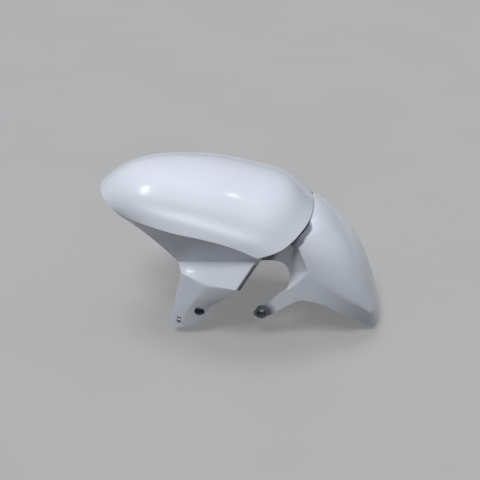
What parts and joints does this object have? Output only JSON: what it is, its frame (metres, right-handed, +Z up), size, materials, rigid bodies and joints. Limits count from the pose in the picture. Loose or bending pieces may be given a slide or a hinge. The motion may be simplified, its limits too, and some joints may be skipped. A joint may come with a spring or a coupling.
{
  "type": "motorcycle front mudguard",
  "caption": "One-piece moulded motorcycle front mudguard: wide front blade with undercut brim, stepped rear panel, fork pockets, and legs and arms with recessed bolt seats.",
  "frame": {"origin": "middle of the bounding box, at its lowest level, on the centre plane", "axes": "+X forward towards the nose, +Y to the rider's left, +Z up; the wheel axle lies at x 86.5 mm, z -60.9 mm, below the part"},
  "size_m": [0.4572, 0.26, 0.2695],
  "materials": {
    "white_plastic": "glossy white moulded plastic, faintly bluish"
  },
  "bodies": {
    "root": {"mudguard_shell": "white_plastic"}
  },
  "joints": []
}
